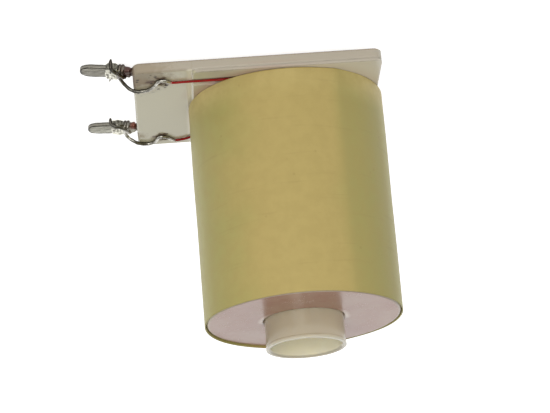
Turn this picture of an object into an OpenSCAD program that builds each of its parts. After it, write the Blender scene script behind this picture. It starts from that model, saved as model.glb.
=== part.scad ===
// Open solenoid coil: a moulded nylon bobbin wound with enamelled wire and wrapped in paper,
// with a slip-in nylon sleeve for the plunger and two stamped solder lugs on a flat tab.
// The bore axis is Z. The origin lies on it, in the outer face of the terminal flange.
// The lugs point along +X and the sleeve sticks out along +Z.

/* [Bobbin] */
// Length over the outer faces of the two flanges
bobbin_l = 45.3; // [38:0.1:60]
// Diameter of the round end flange
end_flange_d = 36.1; // [34:0.1:40]
// Thickness of the round end flange
end_flange_t = 1.7; // [1.2:0.1:3]
// Width of the terminal flange, across the two lugs
terminal_flange_w = 38; // [35.5:0.5:46]
// Reach of the terminal flange from the bore axis to the edge with the lugs
tab_reach = 28.4; // [28:0.1:36]
// Reach of the terminal flange from the bore axis to its plain edge
back_reach = 17.4; // [16:0.1:24]
// Thickness of the terminal flange at its tab
tab_t = 2; // [1.6:0.1:3]
// Corner radius of the terminal flange
tab_corner_r = 1.5; // [0.5:0.1:2.5]
// Extra thickness of the terminal flange under the winding, as deep as a lead is thick
cheek_t = 0.5; // [0.5:0.1:1]
// Reach of that extra thickness towards the lugs
cheek_reach = 17.5; // [16.5:0.1:19]
// Wall of the winding core
core_wall = 1; // [0.8:0.1:1.4]
// Chamfer on the rims of the flanges, the tab and the mouths of the bore
rim_chamfer = 0.3; // [0.1:0.1:0.5]

/* [Sleeve] */
// Bore of the sleeve, in which the plunger slides
sleeve_bore_d = 13.1; // [11:0.1:13.6]
// Wall of the sleeve
sleeve_wall = 0.8; // [0.7:0.1:1.3]
// Length of sleeve that sticks out of the end flange
sleeve_stickout = 5.4; // [2:0.1:12]
// Radial clearance between the sleeve and the bobbin
sleeve_clearance = 0.1; // [0.05:0.01:0.15]
// Height of the thickened lip at the free end of the sleeve
lip_h = 0.6; // [0.4:0.1:1.2]
// Thickening of that lip
lip_t = 0.08; // [0.05:0.01:0.2]

/* [Winding] */
// Diameter of the wire over its enamel
wire_d = 0.46; // [0.3:0.01:0.48]
// Thickness of the tape over the winding
tape_t = 0.2; // [0.1:0.05:0.4]
// Thickness of the paper wrapper
wrapper_t = 0.3; // [0.15:0.05:0.5]
// Width of the overlap where the wrapper is glued to itself
lap_w = 9; // [5:0.5:14]
// Room left between one wound layer and the next
layer_gap = 0.03; // [0.02:0.01:0.06]

/* [Lugs] */
// Thickness of the lug metal
lug_t = 0.8; // [0.6:0.05:1]
// How far the lugs stand out of the outer face of the tab
lug_proud = 0.3; // [0.1:0.05:0.4]
// Reach of the lugs beyond the edge of the tab
lug_reach = 9.6; // [8.6:0.1:13]
// Width of the lug blade
blade_w = 4.4; // [3.8:0.1:5]
// Width of the lug over its ears
ear_w = 5.2; // [5:0.1:5.6]
// Length of the ears
ear_l = 1.1; // [0.8:0.1:1.4]
// Length of the neck between the edge of the tab and the ears
neck_l = 3.3; // [3:0.1:3.8]
// Width of the neck that the lead is wrapped round
neck_w = 2.4; // [2:0.1:2.8]
// Width of the stem seated in the tab
stem_w = 3; // [2.6:0.1:3.2]
// Length of the stem seated in the tab
stem_l = 6.4; // [4.5:0.1:7.5]
// Corner radius at the tip of the blade
tip_r = 1.5; // [0.5:0.1:1.8]
// Diameter of the moulded peg that holds the stem
peg_d = 1.4; // [1:0.1:1.6]
// Room between a lug and the tab
lug_gap = 0.05; // [0.02:0.01:0.1]
// Place across the tab of the lug for the start of the winding
start_lug_y = 13.4; // [12.8:0.1:14]
// Place across the tab of the lug for the finish of the winding
finish_lug_y = -15.2; // [-15.6:0.1:-14.4]
// Angle at which the start lug is bent outwards at the edge of the tab
start_lug_tilt = 2; // [0:0.5:8]
// Angle at which the finish lug is bent outwards at the edge of the tab
finish_lug_tilt = 6; // [0:0.5:8]

/* [Leads] */
// Diameter of the tie hole beside each lug
tie_hole_d = 1.5; // [1:0.1:1.6]
// Distance of the tie holes from the edge of the tab
tie_hole_inset = 5.4; // [4:0.1:7]
// Distance of each tie hole from the middle of its lug
tie_hole_offset = 2.5; // [2.4:0.1:2.8]
// Width of the channel through which the start lead leaves the core
start_channel_w = 1.2; // [0.8:0.1:2]
// Width of the channel through which the finish lead leaves the winding
finish_channel_w = 3.2; // [2:0.1:3.6]
// Width of the paper strip over the start lead
strip_w = 4; // [3:0.1:5]
// Thickness of the paper strip
strip_t = 0.2; // [0.1:0.05:0.3]
// Room between a lead and what it lies on or passes under
lead_gap = 0.03; // [0.02:0.01:0.05]
// Turns of each lead round the neck of its lug
wrap_turns = 2; // [1:1:3]
// Radius of the solder bead at each lug
solder_r = 0.95; // [0.9:0.05:1.1]

/* [Hidden] */
$fn = 96;
eps = 0.01;

// Radii and heights that the pieces share
sleeve_r = sleeve_bore_d / 2 + sleeve_wall;
sleeve_l = bobbin_l + sleeve_stickout;
bore_r = sleeve_r + sleeve_clearance;
core_r = bore_r + core_wall;
rim_r = end_flange_d / 2;
winding_r = rim_r - tape_t - layer_gap;
winding_z0 = tab_t + cheek_t;
winding_z1 = bobbin_l - end_flange_t;
winding_l = winding_z1 - winding_z0;
wrapper_r = rim_r + layer_gap;

// Turns that fit side by side in one layer, and the points that round each of them
layer_turns = floor(winding_l / wire_d);
turn_pitch = winding_l / layer_turns;
turn_angles = [-55, 0, 55];

// The start lead runs in a straight channel that leaves the core beside its lug
channel_angle = 35.5;
channel_bearing = 48;
channel_from = (core_r + wire_d) * [cos(channel_bearing), sin(channel_bearing)];
channel_l = 15.4;
strip_from = 0.6;
strip_l = 8.2;
start_channel_depth = wire_d + strip_t + 2 * lead_gap;
// The finish lead leaves the outer turns, a few turns down, through a gap in the cheek
finish_channel_dy = 1.2;
finish_channel_y = finish_lug_y + finish_channel_dy;
finish_channel_x0 = sqrt(pow(winding_r - 4 * wire_d, 2) - pow(finish_channel_y, 2));

// Heights of a lead's middle in the start channel and on the tab
channel_lead_z = winding_z0 - start_channel_depth + lead_gap + wire_d / 2;
tab_lead_z = tab_t + lead_gap + wire_d / 2;
// Stretch of each lead by the winding: distances along the start channel, and offsets from the
// inner end of the finish channel
start_stops = [0.3, 4.1, 8.9, 12.9];
start_exit = 15.2;
finish_stops = [[1, -0.2], [5.3, 0]];
// Stretch of each lead on the tab: offsets from the tab's edge, the lug's middle and that height
start_points = [
    [-8.2, 3, 0], [-7.2, 2.95, 0], [-6.5, 2.25, 0], [-5.8, 1.2, 0], [-4.9, 0.55, 0],
    [-4.2, 0.75, 0], [-3.8, 1.6, 0], [-3.5, 2.7, 0], [-2.8, 3.7, 0.01], [-1.9, 4.05, 0.02],
    [-0.9, 3.85, 0.04], [0.1, 3.3, 0], [1, 2.85, -0.4], [1.8, 2.6, -1], [2.3, 2, -1.45]];
finish_points = [
    [-9.6, 1.22, 0], [-7.7, 1.3, 0], [-6.8, 1, 0], [-5.9, 0.15, 0], [-5.2, -0.1, 0],
    [-4.6, 0.3, 0], [-4.1, 1.7, 0], [-3.5, 3.05, 0], [-2.6, 4.1, 0.02], [-1.5, 4.4, 0.04],
    [-0.4, 4.3, 0.03], [0.6, 4, -0.3], [1.5, 3.5, -1.05], [2.2, 2.5, -1.65]];
// Rings between two points of a route, rings to a turn of the wrap, and sides of the tube
route_steps = 3;
wrap_steps = 16;
tube_sides = 8;
// The wrap starts this far along the neck, clear of the solder, at this angle round the neck
wrap_room = 0.1;
wrap_x = neck_l + ear_l / 2 - solder_r - wire_d / 2 - 2 * wrap_room;
wrap_pitch = wire_d + 3 * lead_gap;
wrap_angle = 60;
wrap_corner = 2;
// The bead of solder ends this far from the middle of its lug, less its own radius
solder_half_w = ear_w / 2 - 0.3;
// Length of neck that closes the bend of a lug
bend_l = lug_t * sin(max(start_lug_tilt, finish_lug_tilt)) + eps;

// Steps along a smooth curve through the points of a list
function knot(p, i) = p[max(0, min(i, len(p) - 1))];
function curve_at(p, i, t) =
    let (a = knot(p, i - 1), b = knot(p, i), c = knot(p, i + 1), d = knot(p, i + 2))
    0.5 * (2 * b + (c - a) * t + (2 * a - 5 * b + 4 * c - d) * t * t
           + (3 * b - a - 3 * c + d) * t * t * t);
function curve(p, steps) = concat(
    [for (i = [0 : len(p) - 2], s = [0 : steps - 1]) curve_at(p, i, s / steps)],
    [p[len(p) - 1]]);

// Place of a point given from the root of a lug, along, across and up from its bent blade
function on_lug(p, lug_y, tilt) = [
    tab_reach + p.x * cos(tilt) + p.z * sin(tilt),
    lug_y + p.y,
    p.z * cos(tilt) - p.x * sin(tilt) - lug_proud];

// Rounded-box turns about the neck of a lug, advancing towards the tab
function rounded(v) = sign(v) * pow(abs(v), 1 / wrap_corner);
function wrap_point(a) = [
    wrap_x - wrap_pitch * (a - wrap_angle) / 360,
    (neck_w / 2 + wire_d / 2 + wrap_room) * rounded(cos(a)),
    lug_t / 2 + (lug_t / 2 + wire_d / 2 + wrap_room) * rounded(sin(a))];
function wrap(lug_y, tilt) = [
    for (i = [0 : wrap_turns * wrap_steps])
        on_lug(wrap_point(wrap_angle + 360 * i / wrap_steps), lug_y, tilt)];

// Points of each lead by the winding, then the whole route to its last turn on the lug
function along_start(s, z) =
    [channel_from.x + s * cos(channel_angle), channel_from.y + s * sin(channel_angle), z];
start_inner = concat(
    [for (s = start_stops) along_start(s, channel_lead_z)], [along_start(start_exit, tab_lead_z)]);
finish_inner = [
    for (p = finish_stops)
        [finish_channel_x0 + p.x, finish_channel_y + p.y, tab_lead_z]];
function route(inner, points, lug_y, tilt) = concat(
    curve(concat(inner, [for (p = points) [tab_reach, lug_y, tab_lead_z] + p]), route_steps),
    wrap(lug_y, tilt));

// Rings of a tube: each ring stands square to the route, turned as little as possible
function unit(v) = v / norm(v);
function tangents(p) = [for (i = [0 : len(p) - 1]) unit(knot(p, i + 1) - knot(p, i - 1))];
function carried(n, t) = unit(n - (n * t) * t);
function normals(t, n, i = 0) = i == len(t) ? [] :
    let (m = carried(n, t[i])) concat([m], normals(t, m, i + 1));
function ring(c, t, n, r) = [
    for (k = [0 : tube_sides - 1])
        let (a = 360 * k / tube_sides) c + r * (cos(a) * n + sin(a) * cross(t, n))];

module tube_along(p, d) {
    t = tangents(p);
    n = normals(t, [0, 0, 1]);
    last = len(p) - 1;
    points = [for (i = [0 : last]) each ring(p[i], t[i], n[i], d / 2)];
    sides = [for (i = [0 : last - 1], k = [0 : tube_sides - 1])
        let (a = i * tube_sides + k, b = i * tube_sides + (k + 1) % tube_sides)
        [b, a, a + tube_sides, b + tube_sides]];
    caps = [[for (k = [0 : tube_sides - 1]) k],
            [for (k = [tube_sides - 1 : -1 : 0]) last * tube_sides + k]];
    polyhedron(points, concat(sides, caps), convexity = 6);
}

// Rectangle with round corners, from one corner to the opposite one
module rounded_plate(low, high, r) {
    translate(low + [r, 0])
        square(high - low - [2 * r, 0]);
    translate(low + [0, r])
        square(high - low - [0, 2 * r]);
    for (x = [low.x + r, high.x - r], y = [low.y + r, high.y - r])
        translate([x, y])
            circle(r);
}

// Core tube and round end flange, turned about the bore axis
module core_profile() {
    polygon([
        [bore_r, 0], [core_r, 0], [core_r, winding_z1], [rim_r, winding_z1],
        [rim_r, bobbin_l - rim_chamfer], [rim_r - rim_chamfer, bobbin_l],
        [bore_r + rim_chamfer, bobbin_l], [bore_r, bobbin_l - rim_chamfer]]);
}

// The tab's plate: round corners, and chamfered edges on both faces
module chamfered_plate(low, high, r, t) {
    hull()
        for (x = [low.x + r, high.x - r], y = [low.y + r, high.y - r])
            translate([x, y]) {
                cylinder(r = r - rim_chamfer, h = t, $fn = 32);
                translate([0, 0, rim_chamfer])
                    cylinder(r = r, h = t - 2 * rim_chamfer, $fn = 32);
            }
}

module terminal_flange() {
    half_w = terminal_flange_w / 2;
    chamfered_plate([-back_reach, -half_w], [tab_reach, half_w], tab_corner_r, tab_t);
    translate([0, 0, tab_t - eps])
        linear_extrude(cheek_t + eps)
            rounded_plate([-back_reach, -half_w], [cheek_reach, half_w], tab_corner_r);
}

// Straight slot and strip bed for the start lead, measured along its channel
module along_channel(from, length, w) {
    translate(channel_from)
        rotate(channel_angle)
            translate([from, -w / 2])
                square([length, w]);
}

module lead_channels() {
    translate([0, 0, winding_z0 - start_channel_depth])
        linear_extrude(start_channel_depth + eps)
            along_channel(0, channel_l, start_channel_w);
    translate([0, 0, winding_z0 - strip_t])
        linear_extrude(strip_t + eps)
            along_channel(strip_from - lead_gap, strip_l + 2 * lead_gap, strip_w + 2 * lead_gap);
    translate([finish_channel_x0, finish_channel_y - finish_channel_w / 2, tab_t])
        cube([cheek_reach - finish_channel_x0 + eps, finish_channel_w, cheek_t + eps]);
}

// Part of a lug that lies in the tab, wider all round by the room given
module stem_outline(room) {
    translate([tab_reach - stem_l - room, -stem_w / 2 - room])
        square([stem_l + room + eps, stem_w + 2 * room]);
}

module lug_bed(lug_y) {
    translate([0, lug_y, -eps])
        linear_extrude(lug_t - lug_proud + eps)
            stem_outline(lug_gap);
    translate([tab_reach - tie_hole_inset, lug_y + tie_hole_offset, -eps])
        cylinder(d = tie_hole_d, h = tab_t + 2 * eps);
}

// Moulded peg through the stem of a lug, flush with its outer face
module lug_peg(lug_y) {
    translate([tab_reach - stem_l / 2, lug_y, -lug_proud])
        cylinder(d = peg_d, h = lug_t + eps);
}

module bobbin() {
    color("#ece7dc") {
        difference() {
            union() {
                rotate_extrude()
                    core_profile();
                terminal_flange();
            }
            translate([0, 0, -eps])
                cylinder(r = bore_r, h = winding_z0 + eps);
            translate([0, 0, -eps])
                cylinder(r1 = bore_r + rim_chamfer + eps, r2 = bore_r, h = rim_chamfer + eps);
            lead_channels();
            lug_bed(start_lug_y);
            lug_bed(finish_lug_y);
        }
        lug_peg(start_lug_y);
        lug_peg(finish_lug_y);
    }
}

module coil_sleeve() {
    r = sleeve_bore_d / 2;
    lip_r = sleeve_r + lip_t;
    color("#e8e3d2")
        rotate_extrude()
            polygon([
                [r, 0], [sleeve_r - rim_chamfer, 0], [sleeve_r, rim_chamfer],
                [sleeve_r, sleeve_l - lip_h - lip_t], [lip_r, sleeve_l - lip_h],
                [lip_r, sleeve_l - lip_t], [lip_r - lip_t, sleeve_l],
                [r + rim_chamfer, sleeve_l], [r, sleeve_l - rim_chamfer]]);
}

// Turns laid side by side, whose crowns make the ridged outside of the winding
module winding() {
    crown_r = winding_r - wire_d / 2;
    color("#9c3226")
        rotate_extrude()
            polygon(concat(
                [[core_r + layer_gap, winding_z0]],
                [for (i = [0 : layer_turns - 1], a = turn_angles)
                    [crown_r + wire_d / 2 * cos(a),
                     winding_z0 + turn_pitch * (i + 0.5 + sin(a) / 2)]],
                [[core_r + layer_gap, winding_z1]]));
}

module insulation_tape() {
    color("#dccb8e")
        translate([0, 0, winding_z0])
            difference() {
                cylinder(r = rim_r, h = winding_l);
                translate([0, 0, -eps])
                    cylinder(r = rim_r - tape_t, h = winding_l + 2 * eps);
            }
}

// One turn of paper with its end glued over its beginning, on the far side
module paper_wrapper() {
    lap_angle = lap_w / wrapper_r * 180 / PI;
    color("#c8b673")
        translate([0, 0, winding_z0]) {
            difference() {
                cylinder(r = wrapper_r + wrapper_t, h = bobbin_l - winding_z0);
                translate([0, 0, -eps])
                    cylinder(r = wrapper_r, h = bobbin_l - winding_z0 + 2 * eps);
            }
            rotate(90 - lap_angle / 2)
                rotate_extrude(angle = lap_angle)
                    translate([wrapper_r + wrapper_t / 2, 0])
                        square([wrapper_t, bobbin_l - winding_z0]);
        }
}

// Outside part of a stamped lug: neck for the lead, ears, and a blade with a rounded tip
module blade_outline() {
    translate([0, -neck_w / 2])
        square([neck_l + eps, neck_w]);
    translate([neck_l, -ear_w / 2])
        square([ear_l, ear_w]);
    translate([neck_l, -blade_w / 2])
        square([lug_reach - tip_r - neck_l, blade_w]);
    translate([neck_l, tip_r - blade_w / 2])
        square([lug_reach - neck_l, blade_w - 2 * tip_r]);
    for (side = [-1, 1])
        translate([lug_reach - tip_r, side * (blade_w / 2 - tip_r)])
            circle(tip_r);
}

// Children drawn from the root of a lug, along its bent blade
module along_lug(lug_y, tilt) {
    translate([tab_reach, lug_y, -lug_proud])
        rotate([0, tilt, 0])
            children();
}

// Stem in the tab, with its hole for the peg, and the part outside bent from the tab's edge
module lug(lug_y, tilt) {
    color("#b4b7ba") {
        translate([0, lug_y, -lug_proud])
            linear_extrude(lug_t)
                difference() {
                    union() {
                        stem_outline(0);
                        translate([tab_reach, -neck_w / 2])
                            square([bend_l, neck_w]);
                    }
                    translate([tab_reach - stem_l / 2, 0])
                        circle(d = peg_d + 2 * lug_gap);
                }
        along_lug(lug_y, tilt)
            linear_extrude(lug_t)
                blade_outline();
    }
}

module lead(inner, points, lug_y, tilt) {
    color("#8f2b22")
        tube_along(route(inner, points, lug_y, tilt), wire_d);
}

// Bead of solder that has run round the ears of a lug
module solder(lug_y, tilt) {
    color("#c6c9cb")
        along_lug(lug_y, tilt)
            difference() {
                hull()
                    for (side = [-1, 1])
                        translate([neck_l + ear_l / 2, side * solder_half_w, lug_t / 2])
                            sphere(solder_r, $fn = 24);
                linear_extrude(lug_t)
                    blade_outline();
            }
}

module start_terminal() { lug(start_lug_y, start_lug_tilt); }

module finish_terminal() { lug(finish_lug_y, finish_lug_tilt); }

module start_lead() { lead(start_inner, start_points, start_lug_y, start_lug_tilt); }

module finish_lead() { lead(finish_inner, finish_points, finish_lug_y, finish_lug_tilt); }

module start_solder() { solder(start_lug_y, start_lug_tilt); }

module finish_solder() { solder(finish_lug_y, finish_lug_tilt); }

module start_lead_strip() {
    color("#d8caa0")
        translate([0, 0, winding_z0 - strip_t])
            linear_extrude(strip_t)
                along_channel(strip_from, strip_l, strip_w);
}

bobbin();
coil_sleeve();
winding();
insulation_tape();
paper_wrapper();
start_terminal();
finish_terminal();
start_lead();
finish_lead();
start_solder();
finish_solder();
start_lead_strip();
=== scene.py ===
import math

import bpy
import numpy as np
from mathutils import Matrix, Vector


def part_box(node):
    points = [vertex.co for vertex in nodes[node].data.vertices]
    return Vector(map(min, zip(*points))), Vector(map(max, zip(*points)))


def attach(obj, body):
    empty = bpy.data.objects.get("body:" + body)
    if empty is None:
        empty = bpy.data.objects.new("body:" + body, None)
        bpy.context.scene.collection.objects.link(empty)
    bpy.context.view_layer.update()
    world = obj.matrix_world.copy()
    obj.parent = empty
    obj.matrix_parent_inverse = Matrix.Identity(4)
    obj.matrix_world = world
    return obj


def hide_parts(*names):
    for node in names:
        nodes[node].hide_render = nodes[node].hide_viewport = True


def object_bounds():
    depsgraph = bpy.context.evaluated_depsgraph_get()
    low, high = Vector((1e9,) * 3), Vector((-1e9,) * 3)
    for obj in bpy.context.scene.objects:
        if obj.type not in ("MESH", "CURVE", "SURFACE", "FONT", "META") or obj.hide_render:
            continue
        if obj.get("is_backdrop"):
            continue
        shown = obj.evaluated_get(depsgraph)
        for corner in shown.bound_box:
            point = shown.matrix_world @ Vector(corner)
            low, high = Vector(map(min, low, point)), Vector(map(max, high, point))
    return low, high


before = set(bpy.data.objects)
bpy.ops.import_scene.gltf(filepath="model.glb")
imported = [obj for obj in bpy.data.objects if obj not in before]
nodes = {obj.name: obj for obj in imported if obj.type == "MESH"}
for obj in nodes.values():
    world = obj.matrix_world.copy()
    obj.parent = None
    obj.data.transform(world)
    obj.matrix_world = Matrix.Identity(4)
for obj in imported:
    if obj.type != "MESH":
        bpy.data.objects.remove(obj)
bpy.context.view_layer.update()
mm = 0.001  # every length below is in millimetres


def cornersOf(node):
    return [np.array(corner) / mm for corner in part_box(node)]


# places that the frame gives
bobbinLow, bobbinHigh = cornersOf("bobbin")
paperLow, paperHigh = cornersOf("paper_wrapper")
sleeveHigh, windHigh = (cornersOf(node)[1] for node in ("coil_sleeve", "winding"))
tabEdge = bobbinHigh[0]
rimZ = bobbinHigh[2]
paperRadius = -paperLow[0]
lapRadius = paperHigh[1]
leadHeight = 2.26  # middle of a lead that lies on the tab's inner face
stepEdge = 17.5  # where the flange's thicker part under the winding ends
lugMiddle = {}
for side in ("start", "finish"):
    lugLow, lugHigh = cornersOf(side + "_terminal")
    lugMiddle[side] = (lugLow[1] + lugHigh[1]) / 2
print("frame:", len(nodes), "nodes, tab edge", round(tabEdge, 2), "mm")


def tubeFaces(rings, sides):
    # quads between neighbouring rings of points, then one flat face over the first ring and one over the last
    i, j = np.meshgrid(np.arange(rings - 1) * sides, np.arange(sides), indexing="ij")
    beside = (j + 1) % sides
    quads = np.stack([i + j, i + beside, i + sides + beside, i + sides + j], axis=-1).reshape(-1, 4)
    ring = np.arange(sides)
    return quads.tolist() + [ring[::-1].tolist(), (ring + (rings - 1) * sides).tolist()]


def makePiece(name, shells, material, body, node):
    # each shell is its points in millimetres, its faces and a uv per point; they become one mesh at the origin
    points, faces, uvs = [], [], []
    for shellPoints, shellFaces, shellUv in shells:
        shift = sum(len(p) for p in points)
        points.append(shellPoints.reshape(-1, 3))
        uvs.append(shellUv.reshape(-1, 2))
        faces += [[int(v) + shift for v in face] for face in shellFaces]
    mesh = bpy.data.meshes.new(name)
    mesh.from_pydata(np.concatenate(points) * mm, [], faces)
    mesh.polygons.foreach_set("use_smooth", np.ones(len(faces), dtype=bool))
    order = np.zeros(len(mesh.loops), dtype=np.int32)
    mesh.loops.foreach_get("vertex_index", order)
    layer = mesh.uv_layers.new(name="surface")
    layer.data.foreach_set("uv", np.concatenate(uvs)[order].astype(np.float32).ravel())
    mesh.materials.append(material)
    mesh.update()
    piece = bpy.data.objects.new(name, mesh)
    bpy.context.scene.collection.objects.link(piece)
    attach(piece, body)
    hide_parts(node)
    print("piece:", name, len(faces), "faces")


def smoothStep(value, low, high):
    # rise from 0 at the low limit to 1 at the high one, level at both
    t = np.clip((value - low) / (high - low), 0, 1)
    return t * t * (3 - 2 * t)


def ripple(a, b, seed):
    # soft unevenness between -1 and 1: three crossed sine waves of unlike lengths
    shift = np.array([1.7, 4.1, 2.3]) * seed
    waves = np.sin(a + shift[0]) * np.cos(1.3 * b + shift[1]) + np.sin(2.1 * a - 1.7 * b + shift[2])
    return (waves + np.sin(0.6 * a + 2.9 * b + shift[1])) / 3


# camera at the photograph's viewing angle; the coil stands on its terminal flange and is seen upside down
cameraSet = {
    "azimuth": 3.156, "elevation": 18.463, "roll": 175.027,
    "aim": (3.53, 0, 22.952), "distance": 420,
    "focalPixels": 2238.8, "imageWidth": 550, "sensor": 36, "clip": (10, 20000),
}


def makeCamera(spec):
    # the camera looks along one line to the aim, and the roll turns it about that line
    azimuth, elevation, roll = (math.radians(spec[key]) for key in ("azimuth", "elevation", "roll"))
    level = math.cos(elevation)
    back = Vector((math.sin(azimuth) * level, -math.cos(azimuth) * level, math.sin(elevation)))
    up = (Vector((0, 0, 1)) - back * back.z).normalized()
    right = up.cross(back)
    rolledRight = right * math.cos(roll) + up * math.sin(roll)
    rolledUp = up * math.cos(roll) - right * math.sin(roll)
    turn = Matrix((rolledRight, rolledUp, back)).transposed().to_4x4()
    lens = bpy.data.cameras.new("camera")
    lens.sensor_width = spec["sensor"]
    lens.lens = spec["focalPixels"] * spec["sensor"] / spec["imageWidth"]
    lens.clip_start, lens.clip_end = (limit * mm for limit in spec["clip"])
    camera = bpy.data.objects.new("camera", lens)
    camera.matrix_world = Matrix.Translation((Vector(spec["aim"]) + back * spec["distance"]) * mm) @ turn
    bpy.context.scene.collection.objects.link(camera)
    bpy.context.scene.camera = camera


makeCamera(cameraSet)
print("camera placed")


def feed(tree, node, inputs):
    # an input is linked to a socket or set to a plain value
    for key, value in inputs.items():
        if isinstance(value, bpy.types.NodeSocket):
            tree.links.new(value, node.inputs[key])
        else:
            node.inputs[key].default_value = value


def put(tree, kind, inputs=None, **settings):
    # one node with its settings and inputs
    node = tree.nodes.new(kind)
    for key, value in settings.items():
        setattr(node, key, value)
    feed(tree, node, inputs or {})
    return node


def maths(tree, operation, *values):
    return put(tree, "ShaderNodeMath", dict(enumerate(values)), operation=operation).outputs[0]


def both(tree, first, *others):
    # product of masks
    for other in others:
        first = maths(tree, "MULTIPLY", first, other)
    return first


def either(tree, first, *others):
    # the greatest of several masks
    for other in others:
        first = maths(tree, "MAXIMUM", first, other)
    return first


def added(tree, value, more, weight):
    return maths(tree, "ADD", value, maths(tree, "MULTIPLY", more, weight))


def between(tree, value, limits, start=0.0, to=(0.0, 1.0)):
    # smooth rise of a value between two limits, which are measured from the start
    inputs = {"Value": value, "From Min": start + limits[0], "From Max": start + limits[1],
              "To Min": to[0], "To Max": to[1]}
    return put(tree, "ShaderNodeMapRange", inputs, interpolation_type="SMOOTHSTEP").outputs["Result"]


def paint(tree, under, over, *masks, kind="MIX"):
    # one colour laid over another as far as the product of the masks says
    under, over = ((*colour, 1) if isinstance(colour, tuple) else colour for colour in (under, over))
    inputs = {0: both(tree, *masks), 6: under, 7: over}
    return put(tree, "ShaderNodeMix", inputs, data_type="RGBA", blend_type=kind).outputs[2]


def noiseOf(tree, place, scale, detail, **more):
    return put(tree, "ShaderNodeTexNoise", {"Vector": place, "Scale": scale, "Detail": detail, **more}).outputs[0]


def cellsOf(tree, place, scale):
    return put(tree, "ShaderNodeTexVoronoi", {"Vector": place, "Scale": scale}).outputs["Distance"]


def scaled(tree, place, factors):
    return put(tree, "ShaderNodeVectorMath", {0: place, 1: factors}, operation="MULTIPLY").outputs[0]


def axesOf(tree, place):
    return put(tree, "ShaderNodeSeparateXYZ", {0: place}).outputs


def radiusOf(tree, place):
    flat = scaled(tree, place, (1, 1, 0))
    return put(tree, "ShaderNodeVectorMath", {0: flat}, operation="LENGTH").outputs["Value"]


def sheetOf(tree):
    # the piece's own u and v
    return put(tree, "ShaderNodeUVMap", uv_map="surface").outputs[0]


def newGroup(name, inputs, outputs):
    # an empty node group; each input has its kind, and every output is a plain value
    tree = bpy.data.node_groups.new(name, "ShaderNodeTree")
    for key, kind in inputs.items():
        tree.interface.new_socket(key, in_out="INPUT", socket_type="NodeSocket" + kind)
    for key in outputs:
        tree.interface.new_socket(key, in_out="OUTPUT", socket_type="NodeSocketFloat")
    return tree, put(tree, "NodeGroupInput").outputs, put(tree, "NodeGroupOutput").inputs


mottleSet = {"patchDetail": 4.0, "patchRough": 0.6, "patchSpan": (0.3, 0.7), "grainDetail": 3.0, "grainRough": 0.65}


def makeMottle(spec):
    # cloudy tone in patches, and fine grain
    inputs = {"Place": "Vector", "Patch": "Float", "Grain": "Float"}
    tree, given, out = newGroup("mottle", inputs, ["Tone", "Grain"])
    patch = noiseOf(tree, given["Place"], given["Patch"], spec["patchDetail"], Roughness=spec["patchRough"])
    grain = noiseOf(tree, given["Place"], given["Grain"], spec["grainDetail"], Roughness=spec["grainRough"])
    tree.links.new(between(tree, patch, spec["patchSpan"]), out["Tone"])
    tree.links.new(grain, out["Grain"])
    return tree


nearSet = {"noiseScale": 1.1, "noiseDetail": 4.0, "noiseMean": 0.5, "span": (1.0, 0.35)}


def makeNearPoint(spec):
    # mask that falls from 1 at a point to 0 at a distance, broken up by noise
    inputs = {"Place": "Vector", "Point": "Vector", "Reach": "Float", "Break": "Float"}
    tree, given, out = newGroup("nearPoint", inputs, ["Mask"])
    gap = put(tree, "ShaderNodeVectorMath", {0: given["Place"], 1: given["Point"]}, operation="DISTANCE")
    share = maths(tree, "DIVIDE", gap.outputs["Value"], given["Reach"])
    noise = noiseOf(tree, given["Place"], spec["noiseScale"], spec["noiseDetail"])
    uneven = added(tree, share, maths(tree, "SUBTRACT", noise, spec["noiseMean"]), given["Break"])
    tree.links.new(between(tree, uneven, spec["span"]), out["Mask"])
    return tree


mottleGroup = makeMottle(mottleSet)
nearGroup = makeNearPoint(nearSet)
grainSpan = (0.2, 0.8)  # most of a grain's values lie between these


def mottle(tree, place, patch, grain):
    inputs = {"Place": place, "Patch": patch, "Grain": grain}
    node = put(tree, "ShaderNodeGroup", inputs, node_tree=mottleGroup)
    return node.outputs["Tone"], node.outputs["Grain"]


def nearLug(tree, place, side, offset, reach, uneven):
    # the offset is measured from the tab's edge, the lug's middle and the flange's outer face
    point = (tabEdge + offset[0], lugMiddle[side] + offset[1], offset[2])
    inputs = {"Place": place, "Point": point, "Reach": reach, "Break": uneven}
    return put(tree, "ShaderNodeGroup", inputs, node_tree=nearGroup).outputs["Mask"]


def newMaterial(name):
    # a material with its shader and the surface's place in millimetres
    material = bpy.data.materials.new(name)
    material.use_nodes = True
    tree = material.node_tree
    place = scaled(tree, put(tree, "ShaderNodeTexCoord").outputs["Object"], (1 / mm,) * 3)
    return material, tree, tree.nodes["Principled BSDF"], place


def masksOf(tree, spec):
    # makes masks from the limits that a set gives by name
    return lambda value, key, start=0.0: between(tree, value, spec[key], start)


def addBump(tree, shader, height, depth, edge=None):
    # depth in millimetres; edge rounds the look of sharp corners
    inputs = {"Height": height, "Strength": 1.0, "Distance": depth * mm}
    if edge:
        inputs["Normal"] = put(tree, "ShaderNodeBevel", {"Radius": edge * mm}, samples=6).outputs[0]
    tree.links.new(put(tree, "ShaderNodeBump", inputs).outputs[0], shader.inputs["Normal"])


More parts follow.
